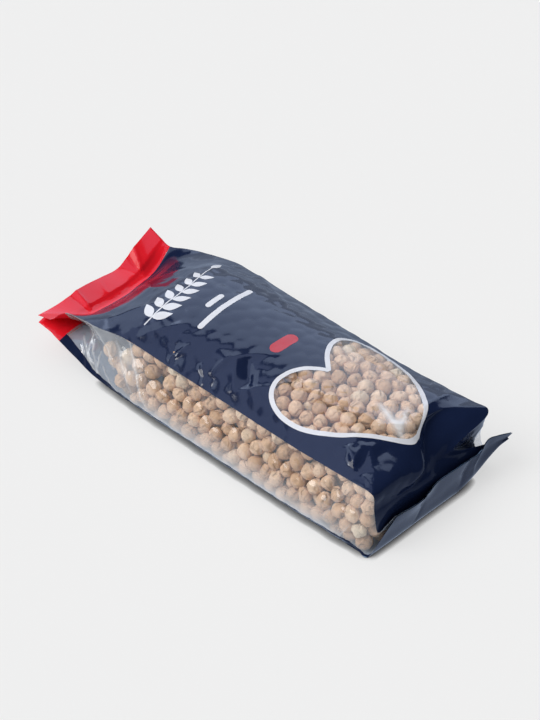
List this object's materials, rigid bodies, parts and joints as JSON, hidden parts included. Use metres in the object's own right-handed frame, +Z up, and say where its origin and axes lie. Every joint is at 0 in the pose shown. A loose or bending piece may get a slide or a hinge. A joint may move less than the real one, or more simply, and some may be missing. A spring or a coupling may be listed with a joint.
{
  "type": "bag of chickpeas",
  "caption": "Side-gusseted film pouch of dried chickpeas lying on its back, with a sealed red header, clear sides, a heart-shaped window and a folded-up bottom fin.",
  "frame": {"origin": "middle of the ground under the pouch's bounding box, where it lies", "axes": "+Y along the pouch from its bottom end to the red header, +Z up out of the front panel, +X across"},
  "size_m": [0.1228, 0.2782, 0.0581],
  "materials": {
    "navy_film": "glossy printed film, crumpled",
    "red_film": "glossy printed film",
    "clear_film": "clear glossy film",
    "pale_print": "pale ink under glossy film",
    "chickpea": "dry, dull, finely wrinkled skin"
  },
  "bodies": {
    "root": {"bag": "navy_film"}
  },
  "joints": []
}
